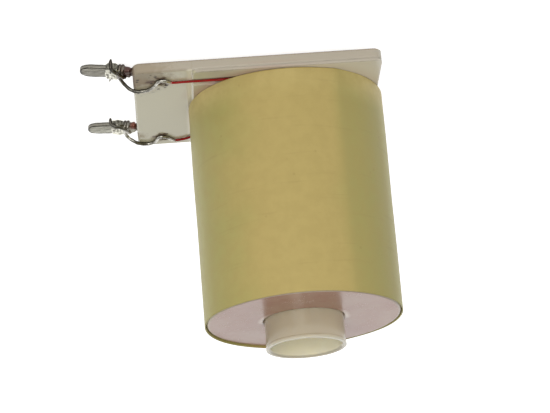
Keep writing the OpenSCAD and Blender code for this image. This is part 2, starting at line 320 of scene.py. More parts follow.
# in the sets below a pair holds the limits between which a mask rises from 0 to 1, on X for Along, Y for Depth,
# Z for Height and either side of the middle for Aside; under rough, metal and Weight it holds what a value runs
# between, and under mottle, cloud and tooth the scales of patches and grain
nylonSet = {
    "white": (0.52, 0.48, 0.385), "shade": (0.48, 0.44, 0.345), "tab": (0.57, 0.535, 0.37),
    "pink": (0.372, 0.186, 0.13), "milk": (0.44, 0.29, 0.205), "bare": (0.70, 0.56, 0.455),
    "side": (0.44, 0.39, 0.305), "paintedLightFace": (0.75, 0.70, 0.58), "rosyShade": (0.44, 0.30, 0.225),
    "step": (0.85, 0.83, 0.72), "lit": (0.78, 0.73, 0.57), "seam": (0.50, 0.45, 0.36),
    "tan": (0.335, 0.275, 0.19), "flux": (0.30, 0.215, 0.125), "burn": (0.10, 0.05, 0.028),
    "speck": (0.05, 0.035, 0.02),
    "mottle": (0.12, 3.0), "tabAlong": (12.0, 17.0), "tabHeight": (1.6, 1.9), "flangeHeight": (4.0, 3.0),
    "wireInner": (7.2, 8.0), "wireOuter": (18.2, 17.3), "endHeight": (-0.4, 0.4),
    "outerHeight": (1.0, 0.0), "outerWeight": (0.0, 0.45), "cloud": (0.16, 0.3), "cloudWeight": 0.6,
    "bareAside": (5.4, 8.0), "bareRadius": (8.9, 7.8), "bareDepth": (1.6, -0.4),
    "sideDepth": (0.45, 0.1), "topHeight": (2.1, 2.5), "topDepth": (0.0, 0.4), "topWeight": (0.3, 1.0),
    "topAlong": (14.0, 4.0), "rosyRadius": (21.5, 18.6), "rosyHeight": (0.6, 2.3), "rosyDepth": (-3.0, -9.0),
    "rosyAlong": (-6.0, 8.0), "rosyWeight": (0.15, 0.75),
    "footHeight": (1.7, 2.0), "footAlong": (1.4, 0.5), "openAlong": (-0.1, 0.1), "lineWidth": (0.22, 0.1),
    "lineDepth": (-13.6, -13.0), "faceWidth": (0.2, 0.05), "faceDepth": (-13.6, -14.2), "arrisDepth": (0.5, 0.3),
    "seamLow": (1.5, 1.75), "seamHigh": (2.2, 2.05), "paintedShadeWeight": 0.12, "underHeight": (0.4, 0.15),
    "underWeight": 0.7, "sootAlong": (-0.5, -0.15), "sootDepth": (-8.0, -12.0), "sootGrain": (0.35, 0.6),
    "sootWeight": (0.15, 0.75), "stainBreak": 0.9, "burnBreak": 1.2, "burnWeight": 0.85,
    "speckScale": 0.6, "speckSize": (0.24, 0.14), "speckPlace": ((-2.0, 1.0, 1.4), 6.5, 1.0), "speckEdge": (0.0, 0.3),
    "rough": (0.08, 0.22), "flowSpan": (0.3, 0.7), "flowRough": (0.02, 0.1), "filmRough": 0.4,
    "relief": 0.012, "edge": 0.4,
    "stains": [
        ("finish", (-0.5, -1.5, 1.0), 9.0, 0.85, "tan"), ("finish", (-0.6, 0.4, 1.4), 3.4, 0.6, "flux"),
        ("start", (-0.2, 0.0, 0.6), 2.6, 0.7, "flux"), ("finish", (-4.0, 1.6, 2.0), 2.6, 0.6, "flux"),
        ("start", (-4.4, 1.8, 2.0), 2.4, 0.5, "flux")],
    # burns at the lugs' roots, and dark spots beside each lead's bend on the tab
    "burnsAndDarkSpots": [
        ("finish", (0.0, 0.0, 0.8), 1.7), ("start", (0.0, -0.4, 0.6), 1.6), ("finish", (-5.4, 2.4, 1.2), 1.7),
        ("finish", (-2.9, 0.9, 2.0), 1.0), ("finish", (-5.6, -0.7, 2.0), 0.8), ("finish", (-4.6, -0.6, 2.0), 0.8),
        ("finish", (-3.7, 0.5, 2.0), 0.9), ("start", (-5.4, 2.4, 1.2), 1.7), ("start", (-5.4, -0.1, 2.0), 0.8),
        ("start", (-4.5, -0.1, 2.0), 0.8), ("start", (-3.6, 0.9, 2.0), 0.9)],
}


def makeNylon(spec):
    # milky moulded nylon: the tab is thin and lets light through, the wire glows pink in cloudy patches through
    # the end flange, which is lighter over the core's bare end and has painted glints at both sides of the sleeve;
    # the terminal flange has painted light on its face, painted shade in a rosy band beside the wrapper, with the
    # winding's red in it, and on its near side, painted light and shade along its seam, painted shade on its lower
    # arris, a painted highlight line at its step and painted light in the step's shadow; flux has run and burnt at
    # the lugs, the tab is darker in spots beside each lead's bend, and the stained places are matt
    material, tree, shader, place = newMaterial("bobbinNylon")
    mask = masksOf(tree, spec)
    tone, grain = mottle(tree, place, *spec["mottle"])
    x, y, z = axesOf(tree, place)
    radius = radiusOf(tree, place)
    nearSide = bobbinLow[1]

    onTab = both(tree, mask(z, "tabHeight"), mask(x, "tabAlong"))
    colour = paint(tree, paint(tree, spec["white"], spec["shade"], tone), spec["tab"], onTab)

    # the wire behind both flanges, and the core's bare end beside the sleeve: lighter where no wire lies under
    # it, and painted only at both sides of the sleeve, as painted glints
    overWire = both(tree, mask(radius, "wireInner"), mask(radius, "wireOuter"))
    endSide = mask(z, "endHeight", windHigh[2])
    outerSide = between(tree, z, spec["outerHeight"], to=spec["outerWeight"])
    glow = both(tree, overWire, either(tree, endSide, outerSide))
    cloud, flow = mottle(tree, place, *spec["cloud"])
    colour = paint(tree, colour, paint(tree, spec["pink"], spec["milk"], cloud, spec["cloudWeight"]), glow)
    # painted glints: the lighter core end shows only at both sides of the sleeve
    aside = mask(maths(tree, "ABSOLUTE", x), "bareAside")
    colour = paint(tree, colour, spec["bare"], mask(radius, "bareRadius"), aside, endSide, mask(y, "bareDepth"))

    # the terminal flange: painted shade on its near side, painted light on its face and painted shade, with the
    # winding's red in it, in the band beside the wrapper
    lowDown = mask(z, "flangeHeight")
    # painted shade: the near side, which the lamps light strongly, is painted darker than the rest
    colour = paint(tree, colour, spec["side"], mask(y, "sideDepth", nearSide))
    # painted light: the face, dimly lit from above, is painted lighter, more so away from its near edge
    onTop = both(tree, mask(z, "topHeight"), lowDown, mask(x, "topAlong"))
    colour = paint(tree, colour, spec["paintedLightFace"], onTop, between(tree, y, spec["topDepth"], nearSide, spec["topWeight"]))
    # painted shade: a darker rosy band beside the wrapper, partly its shade and partly the winding's red showing
    # through
    byWrapper = both(tree, mask(radius, "rosyRadius"), mask(z, "rosyHeight"), lowDown, mask(y, "rosyDepth"))
    colour = paint(tree, colour, spec["rosyShade"], byWrapper, between(tree, x, spec["rosyAlong"], to=spec["rosyWeight"]))

    # the step between flange and tab, and the seam along the near edge, with painted light and shade on both
    fromStep = maths(tree, "ABSOLUTE", maths(tree, "SUBTRACT", x, stepEdge))
    atFoot = both(tree, lowDown, mask(z, "footHeight"))
    # painted highlight: a light line along the step
    colour = paint(tree, colour, spec["step"], mask(fromStep, "lineWidth"), mask(y, "lineDepth"), atFoot)
    stepFace = both(tree, mask(fromStep, "faceWidth"), mask(y, "faceDepth"), lowDown)
    pastStep = mask(x, "openAlong", stepEdge)
    arris = both(tree, mask(y, "arrisDepth", nearSide), lowDown)
    seam = both(tree, arris, mask(z, "seamLow"), mask(z, "seamHigh"))
    # painted shade: the seam past the step and the step's face are painted darker in the flux colour
    paintedShade = either(tree, both(tree, seam, pastStep), stepFace)
    colour = paint(tree, colour, spec["flux"], paintedShade, spec["paintedShadeWeight"])
    # painted light: the tab beside the step, where the step shades it, is painted lighter
    colour = paint(tree, colour, spec["lit"], mask(x, "footAlong", stepEdge), pastStep, atFoot)
    # painted light: the seam's groove, shaded by the flange's overhang, is painted lighter before the step
    colour = paint(tree, colour, spec["seam"], seam, maths(tree, "SUBTRACT", 1.0, pastStep))
    # painted shade: the near side's lower arris is painted dark in the flux colour, as a dark outline
    colour = paint(tree, colour, spec["flux"], arris, mask(z, "underHeight"), spec["underWeight"])

    # flux stains and burns at the lugs, dark spots beside each lead's bend on the tab, the sooty edge of the tab
    # and specks
    sooty = both(tree, mask(x, "sootAlong", tabEdge), mask(y, "sootDepth"))
    filmed = sooty
    for side, offset, reach, weight, tint in spec["stains"]:
        film = nearLug(tree, place, side, offset, reach, spec["stainBreak"])
        filmed = either(tree, filmed, film)
        colour = paint(tree, colour, spec[tint], film, weight)
    for side, offset, reach in spec["burnsAndDarkSpots"]:
        spot = nearLug(tree, place, side, offset, reach, spec["burnBreak"])
        colour = paint(tree, colour, spec["burn"], spot, spec["burnWeight"])
    colour = paint(tree, colour, spec["burn"], sooty, between(tree, grain, spec["sootGrain"], to=spec["sootWeight"]))
    corner = mask(nearLug(tree, place, "finish", *spec["speckPlace"]), "speckEdge")
    specks = both(tree, mask(cellsOf(tree, place, spec["speckScale"]), "speckSize"), corner)
    colour = paint(tree, colour, spec["speck"], specks)

    rough = between(tree, grain, grainSpan, to=spec["rough"])
    rough = added(tree, rough, between(tree, flow, spec["flowSpan"], to=spec["flowRough"]), glow)
    rough = added(tree, rough, either(tree, filmed, specks), spec["filmRough"])
    feed(tree, shader, {"Base Color": colour, "Roughness": rough})
    addBump(tree, shader, grain, spec["relief"], spec["edge"])
    return material


sleeveSet = {
    "outer": (0.465, 0.41, 0.30), "paintedLight": (0.57, 0.505, 0.375), "inner": (0.84, 0.79, 0.62),
    "lip": (0.58, 0.545, 0.435), "brim": (0.46, 0.42, 0.32), "deep": (0.42, 0.37, 0.26),
    "mottle": (0.2, 4.0), "paleAlong": (-1.0, -7.0), "innerRadius": (7.0, 6.7), "lipHeight": (-0.5, -0.15),
    "brimRadius": (6.85, 7.15), "deepWeight": 0.12, "lineStretch": (3, 3, 0.08), "lineScale": 0.5,
    "lineRelief": 0.3, "rough": (0.11, 0.18), "relief": 0.003, "edge": 0.1,
    "through": 0.6, "throughTint": (1.0, 0.9, 0.7), "throughReach": 2.2,
}


def makeSleeveNylon(spec):
    # thinner, yellower nylon that light comes through, with painted light on the side away from the lugs and
    # on its inside, a painted highlight along its lip and faint drawing lines along the tube
    material, tree, shader, place = newMaterial("sleeveNylon")
    mask = masksOf(tree, spec)
    tone, grain = mottle(tree, place, *spec["mottle"])
    split = axesOf(tree, place)
    radius = radiusOf(tree, place)
    # painted light: the side away from the lugs is painted lighter
    outer = paint(tree, spec["outer"], spec["paintedLight"], mask(split["X"], "paleAlong"))
    # painted light: the inside is painted much lighter than the outside, as light coming through the thin wall
    wall = paint(tree, outer, spec["inner"], mask(radius, "innerRadius"))
    # painted highlight: the outside of the end is painted light along the lip; the end darkens towards the bore
    brim = paint(tree, spec["brim"], spec["lip"], mask(radius, "brimRadius"))
    colour = paint(tree, wall, brim, mask(split["Z"], "lipHeight", sleeveHigh[2]))
    colour = paint(tree, colour, spec["deep"], tone, spec["deepWeight"])
    lines = noiseOf(tree, scaled(tree, place, spec["lineStretch"]), spec["lineScale"], 2.0)
    feed(tree, shader, {
        "Base Color": colour, "Roughness": between(tree, lines, grainSpan, to=spec["rough"]),
        "Subsurface Weight": spec["through"], "Subsurface Radius": spec["throughTint"],
        "Subsurface Scale": spec["throughReach"] * mm})
    addBump(tree, shader, added(tree, grain, lines, spec["lineRelief"]), spec["relief"], spec["edge"])
    return material


paperSet = {
    "warm": (0.460, 0.356, 0.123), "greenSheen": (0.388, 0.347, 0.112), "fold": (0.352, 0.308, 0.096),
    "limbSheen": (0.462, 0.428, 0.17), "paintedLight": (0.62, 0.51, 0.215), "olive": (0.385, 0.295, 0.095),
    "speck": (0.27, 0.20, 0.065),
    "cloud": (0.07, 2.2), "tooth": (0.45, 7.0), "greenAside": (9.0, 19.0), "greenShift": 5.0,
    "foldAlong": (-6.6, -10.4), "foldWeight": 0.75, "fringeAside": (16.2, 18.3), "paleHeight": 9.0,
    "paleAside": (7.0, 16.0), "paleWeight": (0.3, 1.0), "oliveWeight": 0.32,
    "speckScale": 0.22, "speckSize": (0.08, 0.03), "speckWeight": 0.22,
    "fibreStretch": (60, 900, 0), "streakSpan": (0.6, 0.8), "streakWeight": 0.3, "fibreRelief": 0.5,
    "toothSpan": (0.25, 0.75), "rough": (0.40, 0.54), "shine": 0.3, "relief": 0.010,
}


def makePaper(spec):
    # calendered insulation paper with a painted greenish sheen at both sides and at its limbs,
    # painted shade beyond the fold and painted light by the flange: faint cloudy tone, fine fibres
    # along the roll, a few darker specks
    material, tree, shader, place = newMaterial("wrapperPaper")
    mask = masksOf(tree, spec)
    tone = mottle(tree, place, *spec["cloud"])[0]
    fine, tooth = mottle(tree, place, *spec["tooth"])
    split = axesOf(tree, place)
    aside = maths(tree, "ABSOLUTE", split["X"])
    # painted sheen: greener towards both sides, where the paper turns away and mirrors its surroundings
    sheenMask = mask(added(tree, aside, tone, spec["greenShift"]), "greenAside")
    colour = paint(tree, spec["warm"], spec["greenSheen"], sheenMask)
    # painted shade: darker beyond the fold, where the paper's flat stretch turns from the light
    colour = paint(tree, colour, spec["fold"], mask(split["X"], "foldAlong"), spec["foldWeight"])
    # painted sheen: lighter and greener at the limbs
    colour = paint(tree, colour, spec["limbSheen"], mask(aside, "fringeAside"))
    # painted light: paler by the flange, against the flange's shade
    byFlange = between(tree, split["Z"], (spec["paleHeight"], paperLow[2]))
    colour = paint(tree, colour, spec["paintedLight"], byFlange, between(tree, aside, spec["paleAside"], to=spec["paleWeight"]))
    colour = paint(tree, colour, spec["olive"], fine, spec["oliveWeight"])
    along = scaled(tree, sheetOf(tree), spec["fibreStretch"])
    fibres = noiseOf(tree, along, 1.0, 4.0, Distortion=0.4)
    dark = both(tree, mask(cellsOf(tree, place, spec["speckScale"]), "speckSize"), spec["speckWeight"])
    streak = both(tree, mask(fibres, "streakSpan"), spec["streakWeight"])
    colour = paint(tree, colour, spec["speck"], either(tree, dark, streak))
    rough = between(tree, tooth, spec["toothSpan"], to=spec["rough"])
    feed(tree, shader, {"Base Color": colour, "Roughness": rough, "Specular IOR Level": spec["shine"]})
    addBump(tree, shader, added(tree, tooth, fibres, spec["fibreRelief"]), spec["relief"])
    return material


wireSet = {
    "enamel": (0.36, 0.012, 0.008), "deep": (0.20, 0.007, 0.005), "tin": (0.26, 0.25, 0.215),
    "freshTinAndGlint": (0.72, 0.70, 0.62), "tarnish": (0.06, 0.052, 0.04), "under": (0.03, 0.025, 0.02),
    "burn": (0.07, 0.032, 0.018),
    "mottle": (0.8, 5.0), "tinSpan": (0.2, 0.9), "tinShift": 0.8, "glintAlong": (-1.0, -3.0), "tarnishWeight": 0.7,
    "belowSpan": (0.25, -0.25), "belowShift": 0.3, "belowWeight": 0.9,
    "wash": ((1.8, 0.8, 0.8), 3.0, 0.6), "washWeight": 0.8,
    "neck": ((1.3, -0.2, 0.3), 2.6, 1.3), "neckWeight": {"start": 0.2, "finish": 0.8},
    "tailEnd": ((4.4, -3.2, -0.6), 1.9, 0.6), "tailWeight": 0.9,
    "metal": (0.0, 0.9), "rough": (0.16, 0.36), "shine": 0.15, "relief": 0.02,
}


def makeWire(spec):
    # red enamel on the coil side, then bare wire run over with solder, with painted glints over the tab and
    # painted shade on its underside, dark with flux on the lugs' necks and at its ends; u is the distance past
    # the enamel's end and v the height in the wire, -1 to 1
    material, tree, shader, place = newMaterial("enamelledWire")
    mask = masksOf(tree, spec)
    tone, grain = mottle(tree, place, *spec["mottle"])
    surface = axesOf(tree, sheetOf(tree))
    red = paint(tree, spec["enamel"], spec["deep"], tone)
    # painted glints: the wire is painted bright where it lies well over the tab
    overTab = mask(axesOf(tree, place)["X"], "glintAlong", tabEdge)
    grey = paint(tree, paint(tree, spec["tin"], spec["freshTinAndGlint"], overTab), spec["tarnish"], tone, spec["tarnishWeight"])
    # painted shade: the wire's underside is painted dark
    below = mask(added(tree, surface["Y"], grain, spec["belowShift"]), "belowSpan")
    tinned = mask(added(tree, surface["X"], grain, spec["tinShift"]), "tinSpan")
    colour = paint(tree, red, paint(tree, grey, spec["under"], below, spec["belowWeight"]), tinned)
    colour = paint(tree, colour, spec["freshTinAndGlint"], nearLug(tree, place, "start", *spec["wash"]), spec["washWeight"])
    for side in lugMiddle:
        colour = paint(tree, colour, spec["burn"], nearLug(tree, place, side, *spec["neck"]), spec["neckWeight"][side])
        colour = paint(tree, colour, spec["under"], nearLug(tree, place, side, *spec["tailEnd"]), spec["tailWeight"])
    feed(tree, shader, {
        "Base Color": colour, "Roughness": between(tree, grain, grainSpan, to=spec["rough"]),
        "Metallic": between(tree, tinned, (0.0, 1.0), to=spec["metal"]), "Specular IOR Level": spec["shine"]})
    addBump(tree, shader, grain, spec["relief"])
    return material


tinSet = {
    "bright": (0.36, 0.35, 0.275), "dull": (0.175, 0.165, 0.128), "front": (0.76, 0.735, 0.73),
    "edgeShade": (0.02, 0.018, 0.015), "wall": (0.20, 0.19, 0.16), "burn": (0.09, 0.045, 0.025),
    "mottle": (0.5, 3.0), "flowStretch": (0.35, 2.2, 2.2), "flowSpan": (0.35, 0.65), "frontDepth": (2.0, -2.0),
    "rimGap": (0.5, 0.2), "rimShift": 0.16, "rimWeight": 0.9,
    "wallGap": (0.16, 0.1), "wallTop": (0.9, 0.75), "wallFoot": (0.15, 0.45),
    "neck": ((0.6, 0.0, 0.3), 2.4, 1.2), "neckWeight": 0.85, "grainRelief": 0.4, "rough": (0.22, 0.40), "relief": 0.05,
}


def makeTin(spec):
    # dipped tin: flow marks along the blade, darker on the front lug, painted shade at its edges and on its walls,
    # burnt flux on the neck; u is the gap to the edge in millimetres and v the height in the metal
    material, tree, shader, place = newMaterial("tinnedLug")
    mask = masksOf(tree, spec)
    tone, grain = mottle(tree, place, *spec["mottle"])
    flow = noiseOf(tree, scaled(tree, place, spec["flowStretch"]), 1.0, 4.0)
    surface = axesOf(tree, sheetOf(tree))
    colour = paint(tree, spec["bright"], spec["dull"], mask(flow, "flowSpan"))
    front = mask(axesOf(tree, place)["Y"], "frontDepth")
    colour = paint(tree, colour, spec["front"], front, kind="MULTIPLY")
    # painted shade: a dark outline along the lug's edges
    edgeShade = mask(added(tree, surface["X"], grain, spec["rimShift"]), "rimGap")
    colour = paint(tree, colour, spec["edgeShade"], edgeShade, spec["rimWeight"])
    # painted shade: the walls are painted darker than the faces
    wall = both(tree, mask(surface["Y"], "wallTop"), mask(surface["Y"], "wallFoot"))
    colour = paint(tree, colour, spec["wall"], mask(surface["X"], "wallGap"), wall)
    for side in lugMiddle:
        colour = paint(tree, colour, spec["burn"], nearLug(tree, place, side, *spec["neck"]), spec["neckWeight"])
    rough = between(tree, tone, (0.0, 1.0), to=spec["rough"])
    feed(tree, shader, {"Base Color": colour, "Roughness": rough, "Metallic": 1.0})
    addBump(tree, shader, added(tree, flow, grain, spec["grainRelief"]), spec["relief"])
    return material


solderSet = {
    "bright": (0.74, 0.72, 0.60), "dull": (0.20, 0.185, 0.145), "flux": (0.07, 0.045, 0.025),
    "edgeShade": (0.03, 0.027, 0.02), "rust": (0.20, 0.06, 0.035), "char": (0.085, 0.032, 0.024),
    "mottle": (0.9, 4.0), "furrowTurn": (0, 0, 0.5), "furrowStretch": (2.4, 0.5, 1.0), "furrowSpan": (0.48, 0.6),
    "fluxAlong": (3.0, 1.6), "fluxShift": (0.0, 0.2), "fluxSpan": (0.56, 0.66), "fluxWeight": 0.7,
    "rimGap": (0.35, 0.1), "rimWeight": 0.8, "wash": ((1.4, 0.9, 0.9), 2.8, 0.5), "washWeight": 0.8,
    "root": ((0.2, -1.4, 0.5), 1.7, 0.8), "charred": ((0.7, -0.4, 0.5), 2.6, 1.2), "charWeight": 0.85,
    "metal": (1.0, 0.4), "rough": (0.16, 0.36), "relief": 0.03,
}


def makeSolder(spec):
    # bright solder with slanting dull furrows, flux in its hollows and a dark outline of painted shade; washed
    # clean at the start lug but for a rusty root, charred at the finish lug; u is the gap to the outline
    material, tree, shader, place = newMaterial("solderBead")
    mask = masksOf(tree, spec)
    tone, grain = mottle(tree, place, *spec["mottle"])
    turned = {"Vector": place, "Rotation": spec["furrowTurn"], "Scale": spec["furrowStretch"]}
    furrow = noiseOf(tree, put(tree, "ShaderNodeMapping", turned).outputs[0], 1.0, 3.0)
    colour = paint(tree, spec["bright"], spec["dull"], mask(furrow, "furrowSpan"))
    onNeck = between(tree, axesOf(tree, place)["X"], spec["fluxAlong"], tabEdge, spec["fluxShift"])
    flux = mask(maths(tree, "ADD", grain, onNeck), "fluxSpan")
    colour = paint(tree, colour, spec["flux"], flux, spec["fluxWeight"])
    gap = axesOf(tree, sheetOf(tree))["X"]
    # painted shade: a dark outline round the bead
    colour = paint(tree, colour, spec["edgeShade"], mask(gap, "rimGap"), spec["rimWeight"])
    colour = paint(tree, colour, spec["bright"], nearLug(tree, place, "start", *spec["wash"]), spec["washWeight"])
    root = nearLug(tree, place, "start", *spec["root"])
    charred = nearLug(tree, place, "finish", *spec["charred"])
    colour = paint(tree, paint(tree, colour, spec["rust"], root), spec["char"], charred, spec["charWeight"])
    rough = between(tree, tone, (0.0, 1.0), to=spec["rough"])
    metal = between(tree, either(tree, flux, root, charred), (0.0, 1.0), to=spec["metal"])
    feed(tree, shader, {"Base Color": colour, "Roughness": rough, "Metallic": metal})
    addBump(tree, shader, maths(tree, "ADD", grain, furrow), spec["relief"])
    return material


# what is mostly hidden: smooth yellow film, buff paper with short fibres, red enamelled turns side by side
plainSet = {
    "insulation_tape": {"finish": "insulationFilm", "light": (0.60, 0.46, 0.16), "dark": (0.52, 0.38, 0.12),
                        "mottle": (0.3, 2.0), "rough": (0.22, 0.4), "relief": 0.01},
    "start_lead_strip": {"finish": "stripPaper", "light": (0.58, 0.50, 0.32), "dark": (0.48, 0.40, 0.24),
                         "mottle": (0.6, 6.0), "rough": (0.6, 0.8), "relief": 0.015},
    "winding": {"finish": "windingEnamel", "light": (0.30, 0.03, 0.02), "dark": (0.17, 0.014, 0.01),
                "mottle": (0.4, 3.0), "rough": (0.2, 0.34), "relief": 0.01},
}


def makePlain(spec):
    # two tones in cloudy patches, with a grain in the gloss and the relief
    material, tree, shader, place = newMaterial(spec["finish"])
    tone, grain = mottle(tree, place, *spec["mottle"])
    colour = paint(tree, spec["light"], spec["dark"], tone)
    feed(tree, shader, {"Base Color": colour, "Roughness": between(tree, grain, grainSpan, to=spec["rough"])})
    addBump(tree, shader, grain, spec["relief"])
    return material


def dress(name, material):
    # a CAD node keeps its mesh and takes the new finish
    node = nodes[name]
    node.data.materials.clear()
    node.data.materials.append(material)


wireFinish = makeWire(wireSet)
tinFinish = makeTin(tinSet)
solderFinish = makeSolder(solderSet)
dress("bobbin", makeNylon(nylonSet))
dress("coil_sleeve", makeSleeveNylon(sleeveSet))
for name, spec in plainSet.items():
    dress(name, makePlain(spec))
print("finishes made")


# paper wrapper: one sheet rolled once, its end glued over its beginning at the back
sheetSet = {
    "thick": 0.22, "lapWidth": 9.0, "underDip": 0.07, "ramp": 5.0, "waver": 0.05,
    "proud": 0.42, "proudAngle": 55, "proudSpread": 50, "edgeRound": 0.06, "flare": 0.18,
    "foldAngle": -118, "foldRise": 0.35, "foldLeft": 0.1, "foldSoft": 0.03,
    "topWave": 0.05, "topWaves": 5, "footGap": 0.02, "footWave": 0.04, "footWaves": 4,
    "waverTurns": 3, "waverRun": 9, "seed": 1.0,
    "alongSteps": 380, "acrossSteps": 44,
}


def turnFrom(angle, degrees):
    # the shorter way round from a direction, in radians
    return (angle - math.radians(degrees) + math.pi) % (2 * math.pi) - math.pi


def paperSheet(spec):
    # the turn angle runs along the sheet; its radius dips under the lap at the start, climbs over it at the
    # end, flares at the flange's plain end and rises to a soft fold, falling off on both sides with the square
    # of the gap to it, as two flat stretches that meet do; a closed loop (outer face, edge, inner face, edge)
    # runs across the sheet
    lapAngle = spec["lapWidth"] / paperRadius
    start = math.pi / 2 - lapAngle / 2
    angle = np.linspace(start, start + 2 * math.pi + lapAngle, spec["alongSteps"])
    run = (angle - start) * paperRadius
    left = run[-1] - run
    climb = (lapRadius - paperRadius) * smoothStep(left, spec["lapWidth"] + spec["ramp"], spec["lapWidth"])
    dip = spec["underDip"] * smoothStep(run, spec["lapWidth"] + spec["ramp"], spec["lapWidth"])
    outer = paperRadius + climb - dip
    fromProud = turnFrom(angle, spec["proudAngle"])
    proud = spec["proud"] * np.exp(-(fromProud / math.radians(spec["proudSpread"])) ** 2)
    top = rimZ + proud + spec["topWave"] * np.sin(spec["topWaves"] * angle)
    bottom = paperLow[2] + spec["footGap"] + spec["footWave"] * (1 + np.sin(spec["footWaves"] * angle + 1))
    half, edge, steps = spec["thick"] / 2, spec["edgeRound"], spec["acrossSteps"]
    share = (1 - np.cos(np.linspace(0, math.pi, steps))) / 2
    share = np.concatenate([share, share[::-1]])
    offset = np.repeat([half, -half], steps)
    soft = np.tile(np.r_[-edge, np.zeros(steps - 2), -edge], 2) * np.sign(offset)
    z = bottom[:, None] + (top - bottom)[:, None] * share
    fromTab = (1 - np.cos(angle))[:, None] / 2
    waver = spec["waver"] * ripple(spec["waverTurns"] * angle[:, None], z / spec["waverRun"], spec["seed"])
    waver += spec["flare"] * (1 - share) * fromTab
    fromFold = np.hypot(turnFrom(angle, spec["foldAngle"]), spec["foldSoft"])[:, None]
    rise = spec["foldRise"] + (spec["foldLeft"] - spec["foldRise"]) * share
    fold = rise * np.clip(1 - fromFold / np.sqrt(2 * rise / paperRadius), 0, 1) ** 2
    radius = (outer - half)[:, None] + offset + soft + waver + fold
    points = np.stack([radius * np.cos(angle)[:, None], radius * np.sin(angle)[:, None], z], axis=-1)
    uv = np.stack([np.broadcast_to(run[:, None], z.shape), z], axis=-1) * mm
    return points, tubeFaces(*z.shape), uv


makePiece("wrapperSheet", [paperSheet(sheetSet)], makePaper(paperSet), "coil", "paper_wrapper")


def smoothPath(knots, steps):
    # curve through the knots whose pull at each knot is half the way between its neighbours
    knots = np.asarray(knots, dtype=float)
    padded = np.concatenate([knots[:1], knots, knots[-1:]])
    a, b, c, d = (padded[k:len(padded) - 3 + k, None] for k in range(4))
    t = np.linspace(0, 1, steps, endpoint=False)[None, :, None]
    curve = 0.5 * (2 * b + (c - a) * t + (2 * a - 5 * b + 4 * c - d) * t ** 2 + (3 * b - a - 3 * c + d) * t ** 3)
    return np.concatenate([curve.reshape(-1, 3), knots[-1:]])


def tubeAlong(path, radius, sides):
    # ring of a given radius square to the path at each of its points; the first spoke of each ring is the
    # last one's, laid square to the new direction; radius may change round the ring as well as along it
    tangent = np.gradient(path, axis=0)
    tangent /= np.linalg.norm(tangent, axis=1)[:, None]
    spoke = np.zeros_like(path)
    spoke[0] = np.cross(tangent[0], (0.3, 0.2, 1.0))  # from any direction off the path
    for k in range(len(path)):
        last = spoke[max(k - 1, 0)]
        across = last - tangent[k] * (last @ tangent[k])
        spoke[k] = across / np.linalg.norm(across)
    side = np.cross(tangent, spoke)
    turn = np.linspace(0, 2 * math.pi, sides, endpoint=False)
    radius = np.broadcast_to(radius, (len(path), sides))[:, :, None]
    ring = spoke[:, None] * np.cos(turn)[None, :, None] + side[:, None] * np.sin(turn)[None, :, None]
    return path[:, None] + radius * ring, tubeFaces(len(path), sides)


# lugs: half widths along the blade, measured from the tab's edge; the tilt bends them there
lugSet = {
    "stem": (-6.4, 1.5), "neck": (0.0, 1.2), "ears": (3.3, 2.6), "blade": (4.4, 2.2), "step": 0.22,
    "reach": 9.6, "thick": 0.8, "proud": 0.3, "tilt": {"start": 2.0, "finish": 6.0},
    "tipRound": 2.1, "tipFlat": 0.97, "pinch": 0.12, "pinchRun": 0.35, "corner": 0.2, "crown": 0.05, "seat": 0.02,
    "swell": 0.03, "swellWaves": (1.6, 1.9), "seed": {"start": 1.0, "finish": 2.0}, "bendRun": 0.2,
    "outside": (-0.2, 0.4), "nearLean": 0.15, "farShare": 0.55, "tipShare": 0.7,
    "steps": 300, "cornerSteps": 7, "flatSteps": 13,
}


def onLug(points, side):
    # along, across and up from the root of a lug become a place; outside the tab both turn by the tilt
    x, y, z = np.moveaxis(np.asarray(points, dtype=float), -1, 0)
    tilt = math.radians(lugSet["tilt"][side])
    bend = tilt * smoothStep(x, -lugSet["bendRun"], lugSet["bendRun"])
    outside = np.maximum(x, 0)
    return np.stack([
        tabEdge + np.minimum(x, 0) + outside * math.cos(tilt) + z * np.sin(bend),
        lugMiddle[side] + y,
        z * np.cos(bend) - outside * math.sin(tilt) - lugSet["proud"]], axis=-1)


